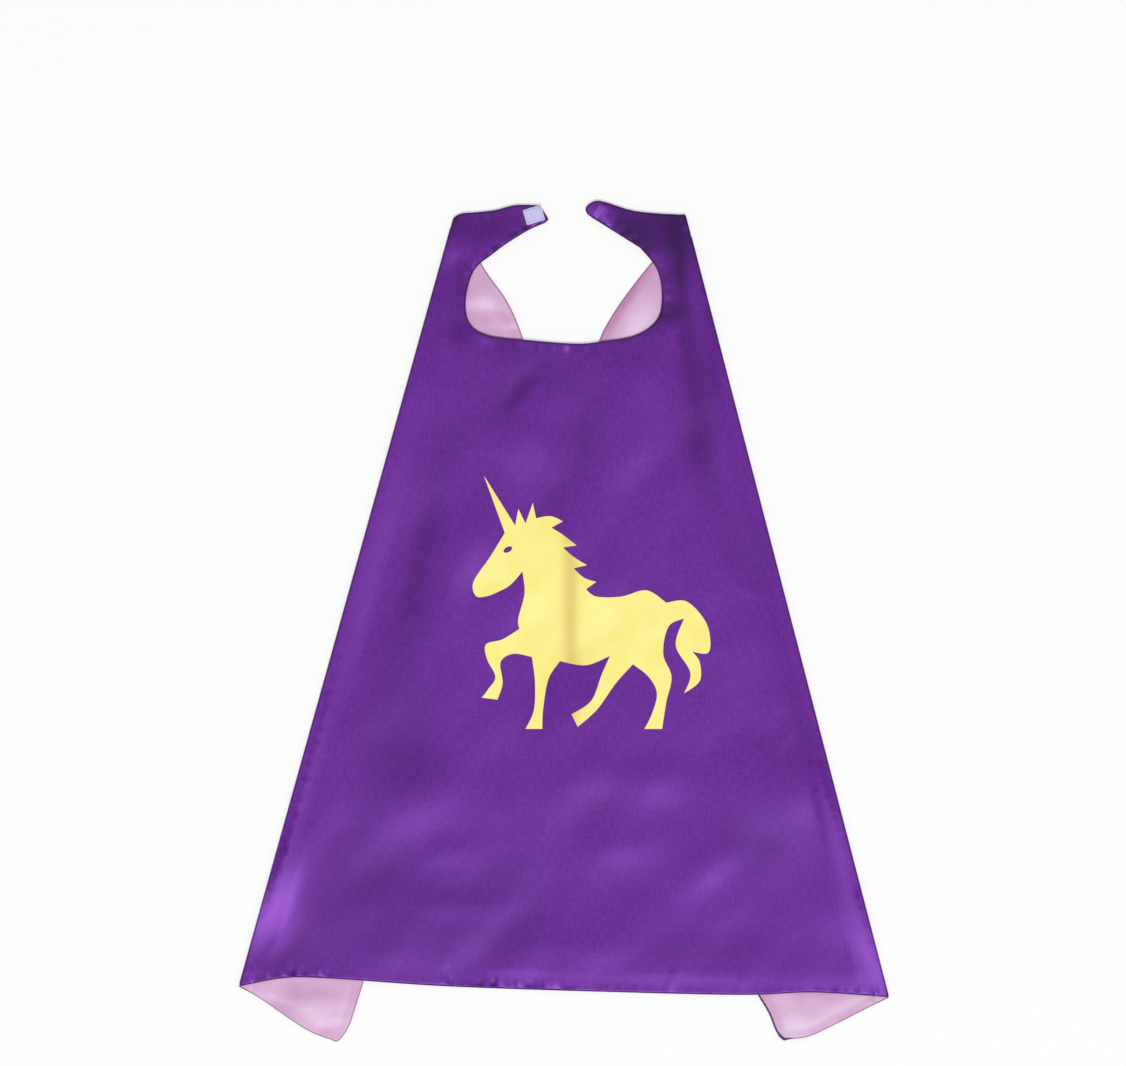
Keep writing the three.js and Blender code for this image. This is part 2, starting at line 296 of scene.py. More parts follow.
def ring_inside(ring, distance):
    """An outline's points moved inwards (it runs anticlockwise)."""
    chord = np.roll(ring, -1, axis=0) - np.roll(ring, 1, axis=0)
    chord /= np.linalg.norm(chord, axis=1)[:, None]
    return ring + distance * np.column_stack([-chord[:, 1], chord[:, 0]])


def turns_of(points, tris):
    """Twice each flat triangle's area, positive where it runs anticlockwise."""
    a, b, c = (points[tris[:, i]] for i in range(3))
    return (b[:, 0] - a[:, 0]) * (c[:, 1] - a[:, 1]) - (b[:, 1] - a[:, 1]) * (c[:, 0] - a[:, 0])


def meshed(ring, extra, cuts):
    """Triangles over an outline, through extra points, with edges along the cuts."""
    points = [Vector(p) for p in ring]
    edges = [(i, (i + 1) % len(ring)) for i in range(len(ring))]
    for cut in cuts:
        edges += [(len(points) + i, len(points) + i + 1) for i in range(len(cut) - 1)]
        points += [Vector(p) for p in cut]
    points += [Vector(p) for p in extra]
    made = delaunay_2d_cdt(points, edges, [], 0, WELD)
    verts = np.array([tuple(v) for v in made[0]])
    tris = np.array([tuple(f) for f in made[2]])
    tris = tris[inside(verts[tris].mean(axis=1), ring)]
    used, tris = np.unique(tris, return_inverse=True)
    tris = tris.reshape(-1, 3)
    verts = verts[used]
    turn = turns_of(verts, tris)
    tris[turn < 0] = tris[turn < 0][:, ::-1]
    return verts, tris


# ==== The way the cloth lies
def smooth(value, low, high):
    share = np.clip((value - low) / (high - low), 0, 1)
    return share * share * (3 - 2 * share)


def waves(points, seed, count, shortest, longest, stretch=1, turn=0):
    """A smooth random field of about unit size, made of plane waves of many directions.

    It is stretched along a direction, given in degrees from +X."""
    c, s = math.cos(math.radians(turn)), math.sin(math.radians(turn))
    points = np.column_stack([(points @ (c, s)) / stretch, points @ (-s, c)])
    draw = np.random.RandomState(seed)
    angle = draw.uniform(0, 2 * math.pi, count)
    length = np.exp(draw.uniform(math.log(shortest), math.log(longest), count))
    phase = draw.uniform(0, 2 * math.pi, count)
    total = np.zeros(len(points))
    for a, size, p in zip(angle, length, phase):
        along = points[:, 0] * math.cos(a) + points[:, 1] * math.sin(a)
        total += np.cos(2 * math.pi * along / size + p)
    return total * math.sqrt(2 / count)


def swell(points, x, y, half_length, half_width, turn, height):
    """A long soft rise of the cloth; sizes in millimetres, turn in degrees from +X."""
    c, s = math.cos(math.radians(turn)), math.sin(math.radians(turn))
    dx, dy = points[:, 0] - x * MM, points[:, 1] - y * MM
    along = (dx * c + dy * s) / (half_length * MM)
    across = (dy * c - dx * s) / (half_width * MM)
    return height * MM * np.exp(-0.5 * (along * along + across * across))


# x, y, half length, half width, turn, height: rises and hollows of the back panel
BACK_SWELLS = [
    (-134, -157, 40, 22, 18, 2.7),
    (-32, 160, 20, 17, 10, 1.3),
    (-84, 62, 26, 15, 50, 1.3),
    (-254, -232, 36, 14, 67, 3.4),
    (-106, -206, 15, 8, 15, 0.7),
    (-93, -254, 26, 9, 0, 0.6),
    (70, -140, 34, 12, 0, 1.0),
    (51, -201, 19, 10, 10, 0.8),
    (136, -217, 27, 12, 35, 1.2),
    (211, -149, 36, 24, 20, 2.7),
    (268, -278, 34, 13, -72, 2.6),
    (131, -25, 11, 6, 20, 0.35),
    (-206, -120, 60, 26, 72, 1.4),
    (20, -290, 90, 12, -2, 0.6),
    (136, 232, 70, 13, -76, 1.8),
    (60, 190, 40, 20, 60, 1.0),
    (180, -50, 60, 24, -60, 1.2),
    (-20, -80, 60, 22, 10, 0.9),
]
# long shallow hollows between them
BACK_HOLLOWS = [
    (-127, 77, 66, 12, 80, -1.1),
    (-38, 207, 28, 8, 55, -0.7),
    (14, 159, 30, 10, 72, -0.6),
    (112, 240, 58, 8, -76, -0.9),
    (121, 146, 28, 11, -70, -0.8),
    (166, 57, 32, 12, -60, -0.8),
    (-171, -231, 26, 14, 30, -0.8),
    (171, -196, 24, 12, 30, -0.7),
    (-94, 280, 26, 7, 86, -0.7),
    (93, 272, 14, 6, 70, -0.6),
    (-56, 242, 14, 4, 60, -0.5),
]
# x, y, half length, half width, turn, strength: painted shade where positive and painted highlights
# where negative, on the satin
SHADES = [
    # left shoulder
    (-72, 348, 16, 7, 25, 0.38),
    (-92, 334, 20, 7, 40, -0.30),
    (-92, 299, 12, 5, 70, 0.38),
    (-95, 258, 9, 8, 0, 0.36),
    (-74, 250, 10, 4, -30, -0.15),
    (-97, 356, 9, 10, 60, 0.35),
    (-57, 246, 6, 5, 60, 0.22),
    (-100, 318, 14, 12, 30, -0.24),
    (-70, 332, 12, 3, 30, -0.20),
    (-112, 264, 14, 7, 60, -0.14),
    # right shoulder and tab
    (108, 344, 14, 5, -76, 0.30),
    (103, 322, 24, 5, -80, 0.60),
    (85, 312, 18, 5, -80, -0.40),
    (115, 296, 34, 6, -80, -0.50),
    (58, 350, 26, 6, -30, 0.36),
    (27, 366, 8, 9, 0, -0.66),
    (92, 357, 24, 6, 0, 0.20),
    (78, 346, 16, 8, -20, 0.12),
    (90, 273, 13, 6, 15, 0.60),
    (96, 253, 12, 7, -60, -0.24),
    (128, 250, 40, 5, -75, -0.14),
    (122, 204, 50, 12, -86, 0.46),
    (74, 222, 30, 18, 90, -0.08),
    # below the neck
    (-54, 212, 30, 10, 60, 0.10),
    (-76, 186, 30, 10, 45, 0.10),
    (16, 190, 30, 26, 0, 0.07),
    # beside and below the emblem
    (-128, 60, 90, 14, 78, 0.20),
    (-150, -20, 60, 18, 75, 0.14),
    (-172, 36, 130, 9, 75, -0.15),
    (-231, -150, 60, 6, 75, -0.22),
    (-178, -205, 40, 26, 70, 0.20),
    (-134, -128, 26, 18, 10, 0.22),
    (-150, -262, 100, 48, 18, 0.20),
    (-84, -298, 44, 12, 28, 0.22),
    (-150, -84, 40, 20, 30, 0.12),
    (-40, 208, 26, 8, 55, 0.22),
    (10, 152, 34, 12, 70, 0.18),
    (122, 148, 24, 10, -70, 0.18),
    (166, 57, 24, 14, -60, 0.20),
    (206, -110, 40, 14, -80, 0.16),
    (178, -192, 34, 20, 25, 0.32),
    (20, -152, 18, 10, 30, 0.12),
    (-34, -226, 24, 12, 0, 0.10),
    (120, -300, 90, 14, 0, 0.16),
    (-92, -246, 26, 8, 0, 0.10),
    # bottom corners
    (-259, -252, 32, 11, 64, -0.50),
    (-258, -262, 26, 9, 62, -0.36),
    (-272, -314, 20, 3, 10, -0.20),
    (-248, -292, 28, 10, 50, 0.40),
    (273, -300, 28, 8, -70, -0.5),
    (240, -184, 40, 6, -75, -0.26),
    (259, -262, 34, 5, -75, -0.12),
    # painted highlights on the swells
    (-32, 142, 20, 12, 30, -0.10),
    (-82, 44, 24, 10, 55, -0.12),
    (-130, -176, 30, 7, 24, -0.08),
    (204, -172, 26, 10, 25, -0.06),
    # along the hem
    (-46, -314, 30, 4, -2, -0.22),
    (92, -319, 60, 5, -1, -0.24),
    (240, -322, 30, 5, 0, -0.14),
]
# the same for the lining where it shows on the folded flaps: painted shade where positive and painted
# highlights where negative
LINING_SHADES = [
    (-76, 298, 12, 7, 20, 0.36),
    (-74, 284, 12, 3.5, 4, -0.55),
    (-70, 268, 14, 5, -12, 0.42),
    (-54, 272, 16, 3, -60, 0.30),
    (54, 292, 38, 6, 62, 0.95),
    (66, 262, 14, 6, 50, -0.50),
    (78, 300, 10, 4, -80, 0.20),
    (-226, -333, 16, 7, 4, 0.42),
    (-258, -337, 14, 3, -14, -0.45),
    (-224, -353, 18, 5, 20, -0.30),
    (-198, -345, 14, 3, 72, -0.20),
    (230, -335, 16, 4, 0, 0.30),
    (222, -354, 10, 3, 20, 0.15),
    (240, -350, 30, 5, 26, -0.40),
    (206, -361, 12, 7, 10, -0.45),
    (216, -344, 12, 6, 0, -0.10),
    (200, -338, 8, 8, 0, -0.20),
]
# short creases that run in from the right fold, and near the neck and the hem
BACK_CREASES = [
    (176, 24, 16, 3.2, -18, 0.5),
    (204, -96, 16, 3.4, 48, 0.5),
    (-60, 246, 8, 2.4, 60, 0.4),
    (-72, 252, 8, 3.0, 70, 0.5),
    (-88, 312, 12, 4.0, 60, 0.5),
    (88, 256, 10, 3.0, -60, 0.5),
    (-104, -300, 9, 3.0, 80, 0.4),
    (96, -322, 7, 2.4, 70, 0.7),
    (160, -322, 7, 2.6, 88, 0.5),
]
# soft folds of the flaps where the neck opening bares them, and below the hem
FLAP_SWELLS = [
    (-68, 284, 18, 4.5, 6, 0.8),
    (-62, 268, 15, 4, -8, 0.6),
    (64, 286, 20, 7, 55, 0.8),
    (-232, -340, 26, 8, 8, 0.7),
    (220, -350, 24, 8, 20, 0.6),
]
BACK_LIFT = 1.4 * MM  # mean height of the back's open middle above its lowest lie
BACK_OPEN = 24 * MM  # from a fold line to where the back swells fully
FLAP_OPEN = (14 * MM, 50 * MM)  # from a fold line to where a flap starts to swell, and does fully
CALM_EDGE = 30 * MM  # the back swells less this close to an edge
CALM_TAB = 0.82  # and by this share less on a tab
SAG = 1.6 * MM  # how far the back's middle hangs down between the flaps
SAG_SPAN = (115 * MM, 215 * MM)
PUCKER_DEPTH = 0.32 * MM
PUCKER_REACH = 6.5 * MM
TAPE_RISE = 0.6 * MM  # of the satin over the loop tape
TAPE_ACROSS = (7.8 * MM, 9.0 * MM)  # from its middle to where the rise starts to end, and ends
TAPE_ALONG = (6.2 * MM, 7.4 * MM)
# rise in millimetres, seed, how many waves, shortest, longest, stretch, turn
BACK_WAVES = [
    (0.42, 3, 26, 110 * MM, 240 * MM, 1.3, 40),
    (0.19, 5, 34, 42 * MM, 90 * MM, 1.7, 48),
    (0.015, 8, 24, 14 * MM, 28 * MM, 1.5, 60),
]
CREASE_X = 3  # the packing crease down the middle, in millimetres
NECK_MIDDLE_Y = 288 * MM  # the middle of the neck opening, where the flaps lie bare
NECK_BARE = (84 * MM, 38 * MM)  # half its width and height
FLAP_HIDDEN = 0.2 * MM  # mean height of a flap's swells beneath the back
FLAP_BARE = 0.6 * MM  # and where the flap shows
FLAP_RIPPLE = 0.14 * MM
FLAP_MOST = 1.6 * MM  # the most that a flap's swells rise


def packing_crease(points):
    """A pressed crease down the middle: a sharp ridge, steeper to its right."""
    x = points[:, 0] / MM - CREASE_X
    bend = 1.6 * np.sin(points[:, 1] / (95 * MM))
    left = np.exp((x - bend) / 13)
    right = np.exp(-(x - bend) / 20)
    return 0.55 * MM * np.minimum(left, right)


def back_height(points):
    """How far the back panel stands above its lowest lie, in its open middle."""
    height = np.full(len(points), BACK_LIFT)
    for rise, *field in BACK_WAVES:
        height += rise * MM * waves(points, *field)
    for one in BACK_SWELLS + BACK_HOLLOWS + BACK_CREASES:
        height += swell(points, *one)
    height += packing_crease(points)
    return np.maximum(height, 0.05 * MM)


def flap_height(points):
    """How far a flap stands above the table: little beneath the back, more below its hem."""
    hidden = np.clip(FLAP_HIDDEN * (1 + waves(points, 11, 20, 50 * MM, 120 * MM)), 0, 0.6 * MM)
    bare = FLAP_BARE * (1 + 0.8 * waves(points, 13, 16, 40 * MM, 90 * MM))
    bare += FLAP_RIPPLE * (1 + waves(points, 14, 16, 16 * MM, 34 * MM, 1.8, 20))
    hem_y = np.interp(points[:, 0], hem_line[:, 0], hem_line[:, 1])
    below_hem = smooth(hem_y - points[:, 1], 4 * MM, 22 * MM)
    across_neck = np.hypot(points[:, 0] / NECK_BARE[0], (points[:, 1] - NECK_MIDDLE_Y) / NECK_BARE[1])
    shown = np.maximum(below_hem, 0.7 * (1 - smooth(across_neck, 0.6, 1.0)))
    height = hidden * (1 - shown) + bare * shown
    for one in FLAP_SWELLS:
        height += swell(points, *one)
    return np.clip(height, 0, FLAP_MOST)


def fold_up(flat):
    """Place in plan, height of the middle, and share of the way round the fold (0 to 1)."""
    plan = flat.copy()
    z = np.full(len(flat), BACK_Z)
    turned = np.zeros(len(flat))
    for fold in folds.values():
        distance = fold.distance(flat)
        angle = np.clip((distance + ARC_IN) / FOLD_R, 0, math.pi)
        straight = np.maximum(distance + ARC_IN - ARC_LENGTH, 0)
        folded = -ARC_IN + FOLD_R * np.sin(angle) - straight
        here = distance > -ARC_IN
        plan += np.outer(np.where(here, folded - distance, 0), fold.beyond)
        z = np.where(here, FOLD_Z + FOLD_R * np.cos(angle), z)
        turned = np.where(here, angle / math.pi, turned)
    return plan, z, turned


def inboard(plan):
    """Distance from the nearer fold line."""
    return np.minimum(*[-fold.distance(plan) for fold in folds.values()])


def on_tab(plan):
    """1 on a tab, falling to 0 on the shoulder."""
    share = np.zeros(len(plan))
    for root in roots.values():
        near = near_tab(plan, root) & (root.distance(plan) > -TAB_REACH)
        share = np.where(near, smooth(root.distance(plan), -TAB_REACH, 0), share)
    return share


def laid(flat):
    """The middle of the two layers, folded and lying as it does on the table."""
    plan, z, turned = fold_up(flat)
    from_edge, place = edge.query(flat)
    away = smooth(inboard(plan), ARC_IN, BACK_OPEN)
    at_neck = smooth(plan[:, 1], 150 * MM, 240 * MM)
    flat_edge = 1 - (0.15 + 0.45 * at_neck) * (1 - smooth(from_edge, 0, CALM_EDGE))
    tab = on_tab(plan)
    back = back_height(plan) * away * flat_edge * (1 - CALM_TAB * tab)
    back -= sag(plan) * (1 - tab)
    flap = flap_height(plan) * smooth(inboard(plan), *FLAP_OPEN)
    under = turned > 0.5
    height = np.where(under, flap, np.where(turned > 0, 0, back))
    height += puckers(from_edge, place) * np.where(under, 0.5, away)
    height = np.where(under, np.maximum(height, 0.02 * MM), height)
    height += tape_press(plan) * (turned < 0.5)
    return np.column_stack([plan, z + height])


def sag(plan):
    """The middle of the back hangs down between the two flaps, to just above the table."""
    depth = np.ones(len(plan))
    for fold in folds.values():
        depth *= smooth(-fold.distance(plan), *SAG_SPAN)
    return SAG * depth


def puckers(from_edge, place):
    """Small gathers that a turned seam pulls into the edge."""
    fade = np.exp(-((from_edge / PUCKER_REACH) ** 2)) * smooth(from_edge, 0.2 * MM, 2.5 * MM)
    along = np.column_stack([place, np.zeros(len(place))])
    gathers = waves(along, 21, 40, 5 * MM, 16 * MM)
    where = np.clip(0.5 + 0.6 * waves(along, 22, 30, 60 * MM, 260 * MM), 0.15, 1.4)
    return PUCKER_DEPTH * fade * gathers * where


def tape_press(plan):
    """The loop tape beneath the right tab presses its square through the satin."""
    low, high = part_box("loop_tape")
    centre = np.array([(low.x + high.x) / 2, (low.y + high.y) / 2])
    root = roots["right"]
    offset = plan - centre
    a, b = abs(offset @ root.beyond), abs(offset @ root.along)
    return TAPE_RISE * (1 - smooth(a, *TAPE_ACROSS)) * (1 - smooth(b, *TAPE_ALONG))


def normals_of(points, tris):
    """Area-weighted vertex normals."""
    a, b, c = points[tris[:, 0]], points[tris[:, 1]], points[tris[:, 2]]
    face = np.cross(b - a, c - a)
    total = np.zeros_like(points)
    for corner in range(3):
        np.add.at(total, tris[:, corner], face)
    return total / np.maximum(np.linalg.norm(total, axis=1), 1e-12)[:, None]


# ==== Pieces
def edges_of(tris):
    return np.concatenate([tris[:, [0, 1]], tris[:, [1, 2]], tris[:, [2, 0]]])


def rim_edges(tris):
    """The edges that only one triangle uses, in that triangle's direction."""
    edges = edges_of(tris)
    order = np.sort(edges, axis=1)
    _, first, uses = np.unique(order, axis=0, return_index=True, return_counts=True)
    return edges[first[uses == 1]]


def add_object(name, data):
    obj = bpy.data.objects.new(name, data)
    bpy.context.scene.collection.objects.link(obj)
    return obj


def add_mesh(name, points, faces, material, normals=None):
    mesh = bpy.data.meshes.new(name)
    mesh.from_pydata([tuple(p) for p in points], [], faces)
    mesh.polygons.foreach_set("use_smooth", [True] * len(faces))
    mesh.update()
    if normals is not None:
        mesh.normals_split_custom_set_from_vertices([tuple(n) for n in normals])
    mesh.materials.append(material)
    return add_object(name, mesh)


def shell(name, chosen, outer, inner, side_tris, normals, material):
    """A closed thin layer over some of the pattern's triangles, and the vertices it uses."""
    part = side_tris[chosen]
    used, part = np.unique(part, return_inverse=True)
    part = part.reshape(-1, 3)
    count = len(used)
    rim = rim_edges(part)
    faces = [tuple(t) for t in part.tolist()]
    faces += [(c + count, b + count, a + count) for a, b, c in part.tolist()]
    faces += [(b, a, a + count, b + count) for a, b in rim.tolist()]
    points = np.concatenate([outer[used], inner[used]])
    both = np.concatenate([normals[used], -normals[used]])
    return add_mesh(name, points, faces, material, both), used


# ==== The pattern, meshed once for both layers
def emblem_rings():
    """The emblem's outline and its eye, with very short steps dropped."""
    return [thinned(ring, [""] * len(ring), 0.5 * MM)[0] for ring in loops_of("emblem")[:2]]


def bend_cuts():
    """Lines across the pattern where a piece that bends meets one that doesn't."""
    cuts = []
    for fold in folds.values():
        along = np.arange(-FOLD_REACH, FOLD_REACH, CUT_STEP)
        for distance in (-STRIP, STRIP):
            cuts.append(fold.point(along, np.full(len(along), distance)))
    for root in roots.values():
        along = np.arange(-TAB_REACH, TAB_REACH, 2 * MM)
        cuts.append(root.point(along, np.full(len(along), -ROOT_STRIP)))
    return cuts


def fold_rows(ring):
    """Rows of points along each fold, close enough across it to round the bend."""
    rows = []
    for fold in folds.values():
        along = np.arange(-FOLD_REACH, FOLD_REACH, CUT_STEP)
        for row in range(ARC_ROWS):
            distance = -ARC_IN + ARC_LENGTH * row / (ARC_ROWS - 1)
            rows.append(fold.point(along, [distance] * len(along)))
    points = np.concatenate(rows)
    return points[inside(points, ring)]


def clear_of_folds(points):
    """Which points lie outside the rows along the folds and clear of the cuts."""
    keep = np.ones(len(points), bool)
    for fold in folds.values():
        distance = fold.distance(points)
        keep &= (distance < -ARC_IN - ROW_CLEAR) | (distance > -ARC_IN + ARC_LENGTH + ROW_CLEAR)
        keep &= abs(abs(distance) - STRIP) > CUT_CLEAR
    return keep


def fill_points(ring, rings_clear):
    """Points all over the pattern: rows inside its edge, rows on the folds, then two grids."""
    low, high = ring.min(axis=0), ring.max(axis=0)
    rows = np.concatenate([ring_inside(ring, depth) for depth in FIRST_ROWS])
    rows = rows[inside(rows, ring) & clear_of_folds(rows)]
    fine = hex_grid(low, high, FINE_STEP)
    coarse = hex_grid(low, high, COARSE_STEP)
    fine_depth, _ = edge.query(fine)
    coarse_depth, _ = edge.query(coarse)
    fine = fine[(fine_depth > FINE_STEP) & (fine_depth < FINE_BAND)]
    coarse = coarse[coarse_depth >= FINE_BAND]
    grid = np.concatenate([fine, coarse])
    grid = grid[inside(grid, ring) & clear_of_folds(grid)]
    grid = grid[Nearest(np.concatenate(rings_clear), 1 * MM).query(grid)[0] > CUT_CLEAR]
    return np.concatenate([rows, fold_rows(ring), grid])


def region_of(points):
    """The piece that each flat point belongs to."""
    names = np.full(len(points), BACK, dtype=object)
    for side, fold in folds.items():
        distance = fold.distance(points)
        names[distance > -STRIP] = f"{side}_fold"
        names[distance > STRIP] = f"{side}_flap"
    for side, root in roots.items():
        names[near_tab(points, root) & (root.distance(points) > -ROOT_STRIP)] = f"{side}_tab"
    return names


chain = cape_edge()
corner_points = np.concatenate([stretch for _, stretch in chain])
corner_names = [name for name, stretch in chain for _ in stretch]
corner_points, corner_names = thinned(corner_points, corner_names, 0.6 * MM)
outline, outline_names = resampled(corner_points, corner_names, EDGE_STEP)
edge = Nearest(outline)
hem_line = chain[0][1]

badge = emblem_rings()
badge_edges = [(a, b) for ring in badge for a, b in zip(ring, np.roll(ring, -1, axis=0))]
flat, tris = meshed(outline, fill_points(outline, badge), bend_cuts() + badge_edges)
flat_middles = flat[tris].mean(axis=1)
region = region_of(flat_middles)
on_badge = inside(flat_middles, badge[0]) & ~inside(flat_middles, badge[1])

from_edge, place = edge.query(flat)
middle = laid(flat)
up = normals_of(middle, tris)
rolled = np.sqrt(1 - (1 - np.clip(from_edge / ROLL, 0, 1)) ** 2)[:, None]


def layer(tris_side, sign, name):
    """One of the two cloths: its outer and inner faces and the outer face's normals."""
    outer = middle + sign * OUTER * rolled * up
    inner = middle + sign * INNER * rolled * up
    return name, tris_side, outer, inner, normals_of(outer, tris_side)


LAYERS = (layer(tris, 1, "satin"), layer(tris[:, ::-1], -1, "lining"))


# ==== Materials
# colours as 0 to 255 sRGB, from dark to light; the darkest of the satin, lining and foil is painted
# shade (for satin and lining also their grain), and the lightest of satin and lining a painted
# highlight
PURPLE = [(38, 4, 58), (101, 35, 144), (108, 40, 153), (172, 104, 226)]
PINK = [(186, 124, 166), (203, 162, 200), (213, 182, 215), (236, 214, 236)]
GOLD = [(206, 178, 74), (244, 228, 118), (245, 234, 136)]
LAVENDER = [(176, 170, 214), (214, 210, 240)]
PURPLE_PLIES = [(48, 14, 72), (70, 24, 98)]
LAVENDER_PLIES = [(160, 150, 196), (196, 190, 226)]
PINK_SHEEN = (250, 230, 250)
PURPLE_SHEEN = (0.55, 0.22, 1.0, 1)  # linear


def linear(r, g, b):
    """A colour given as 0 to 255 sRGB, as the linear colour that Blender's shaders use."""
    def one(value):
        value /= 255
        return value / 12.92 if value <= 0.04045 else ((value + 0.055) / 1.055) ** 2.4
    return (one(r), one(g), one(b), 1)


class Nodes:
    """A material's node tree, with short ways to add and join nodes."""

    def __init__(self, name):
        self.material = bpy.data.materials.new(name)
        self.material.use_nodes = True
        self.tree = self.material.node_tree
        self.shader = self.tree.nodes["Principled BSDF"]

    def add(self, kind, **inputs):
        node = self.tree.nodes.new(kind)
        for name, value in inputs.items():
            node.inputs[name.replace("_", " ")].default_value = value
        return node

    def join(self, out, into):
        self.tree.links.new(out, into)

    def set(self, **values):
        for name, value in values.items():
            self.shader.inputs[name.replace("_", " ")].default_value = value

    def position(self, scale):
        """The point's place on the flat cloth, scaled."""
        source = self.add("ShaderNodeAttribute")
        source.attribute_name = "pattern"
        mapping = self.add("ShaderNodeMapping")
        mapping.inputs["Scale"].default_value = scale
        self.join(source.outputs["Vector"], mapping.inputs["Vector"])
        return mapping.outputs["Vector"]

    def noise(self, scale, detail=2):
        node = self.add("ShaderNodeTexNoise", Scale=1, Detail=detail)
        self.join(self.position(scale), node.inputs["Vector"])
        return node.outputs["Fac"]

    def mix(self, share, first, second):
        """A colour between two, each given as a colour or as another node's output."""
        node = self.add("ShaderNodeMix")
        node.data_type = "RGBA"
        self.join(share, node.inputs["Factor"])
        for value, socket in ((first, node.inputs[6]), (second, node.inputs[7])):
            if isinstance(value, tuple):
                socket.default_value = value
            else:
                self.join(value, socket)
        return node.outputs[2]

    def between(self, value, low, high, start=0.0, end=1.0):
        node = self.add("ShaderNodeMapRange")
        settings = {"From Min": low, "From Max": high, "To Min": start, "To Max": end}
        for name, setting in settings.items():
            node.inputs[name].default_value = setting
        self.join(value, node.inputs["Value"])
        return node.outputs["Result"]

    def attribute(self, name):
        node = self.add("ShaderNodeAttribute")
        node.attribute_name = name
        return node.outputs["Fac"]

    def bump(self, height, depth, strength):
        node = self.add("ShaderNodeBump", Strength=strength, Distance=depth)
        self.join(height, node.inputs["Height"])
        self.join(node.outputs["Normal"], self.shader.inputs["Normal"])


def woven_cloth(name, colours, grain, roughness, shine, tint):
    """A thin woven satin: mottled a little, with a faint warp grain, painted shade in its hollows and
    painted highlights.
    """
    made = Nodes(name)
    dark, plain, pale, painted_highlight = (linear(*colour) for colour in colours)
    cloudy = made.between(made.noise((26, 26, 26), 3), 0.3, 0.7)
    colour = made.mix(cloudy, plain, pale)
    warp = made.between(made.noise((520, 130, 1), 2), 0.3, 0.7)
    weft = made.between(made.noise((120, 560, 1), 2), 0.3, 0.7)
    colour = made.mix(made.between(warp, 0, 1, 0, grain), colour, dark)
    colour = made.mix(made.between(weft, 0, 1, 0, grain * 0.8), colour, dark)
    # painted highlights where the painted light and shade is below 0, painted shade where it is above
    colour = made.mix(made.between(made.attribute("painted_shading"), -1, 0, 1, 0), colour, painted_highlight)
    colour = made.mix(made.attribute("painted_shading"), colour, dark)
    made.join(colour, made.shader.inputs["Base Color"])
    made.bump(warp, 0.05 * MM, 0.5)
    made.set(Roughness=roughness, Specular_IOR_Level=shine, Specular_Tint=tint)
    return made.material


def purple_satin():
    return woven_cloth("purple_satin", PURPLE, grain=0.34, roughness=0.33, shine=0.7,
                       tint=PURPLE_SHEEN)


def pink_lining():
    return woven_cloth("pink_lining", PINK, grain=0.14, roughness=0.38, shine=0.5,
                       tint=linear(*PINK_SHEEN))


def gold_foil():
    """A printed foil: pale gold, smooth, with the cloth's grain faintly showing through, and painted
    shade in its hollows and beside the crease.
    """
    made = Nodes("gold_foil")
    cloudy = made.between(made.noise((40, 40, 40), 2), 0.35, 0.65)
    dark, plain, pale = (linear(*colour) for colour in GOLD)
    colour = made.mix(cloudy, plain, pale)
    colour = made.mix(made.attribute("painted_shading"), colour, dark)
    made.join(colour, made.shader.inputs["Base Color"])
    made.bump(made.noise((900, 200, 1), 2), 0.04 * MM, 0.4)
    made.set(Roughness=0.34)
    return made.material


def lavender_tape():
    """Hook and loop tape: a matt lavender pile."""
    made = Nodes("lavender_tape")
    speckle = made.between(made.noise((1100, 1100, 1100), 2), 0.35, 0.65)
    colour = made.mix(speckle, *(linear(*colour) for colour in LAVENDER))
    made.join(colour, made.shader.inputs["Base Color"])
    made.set(Roughness=0.75, Sheen_Weight=0.25)
    return made.material


def thread(name, colours):
    """Sewing thread, its plies a little darker between."""
    made = Nodes(name)
    plies = made.between(made.noise((900, 900, 900), 1), 0.4, 0.6)
    colour = made.mix(plies, *(linear(*colour) for colour in colours))
    made.join(colour, made.shader.inputs["Base Color"])
    made.set(Roughness=0.55, Sheen_Weight=0.1)
    return made.material


MATERIALS = {
    "purple_satin": purple_satin(),
    "pink_lining": pink_lining(),
    "gold_foil": gold_foil(),
    "lavender_tape": lavender_tape(),
    "purple_thread": thread("purple_thread", PURPLE_PLIES),
    "lavender_thread": thread("lavender_thread", LAVENDER_PLIES),
}


# ==== Placing pieces on their bodies
def settle(obj, piece_region, nodes):
    """Attaches a piece to its body; a fold or tab piece, which lies between two, is only baked in
    place. Hides the CAD parts it stands for.
    """
    side = piece_region.split("_")[0]
    if piece_region.endswith("_fold"):
        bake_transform(obj)
    elif piece_region.endswith("_tab"):
        root = roots[side]
        start, end = root.point([0, 0], [-BLEND_LENGTH, BLEND_LENGTH])
        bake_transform(obj)
    else:
        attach(obj, piece_region)
    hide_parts(*nodes)


def add_attributes(obj, positions, shading_values):
    """The flat-cloth place and the painted light and shade of each vertex, for the materials."""
    place_on = obj.data.attributes.new("pattern", "FLOAT_VECTOR", "POINT")
    place_on.data.foreach_set("vector", np.asarray(positions, np.float32).ravel())
    shading_on = obj.data.attributes.new("painted_shading", "FLOAT", "POINT")
    shading_on.data.foreach_set("value", np.asarray(shading_values, np.float32))


# strengths of the painted shade and light; those for the puckers and the tape are for each millimetre
# of rise
HOLLOW_ROUNDS = 14  # how far round a point its height is compared
# painted shade in the cloth's dips and beside its seams
HOLLOW_PAINTED_SHADE = 0.35
# painted shade over the shoulders
SHOULDER_PAINTED_SHADE = 0.34
RIGHT_PAINTED_SHADE = 0.30  # and how much more on the right shoulder
FOLD_PAINTED_SHADE = 0.85  # painted shade in the crease of a fold
# painted highlights and painted shade on the edge puckers
PUCKER_PAINTED_LIGHT = 0.9
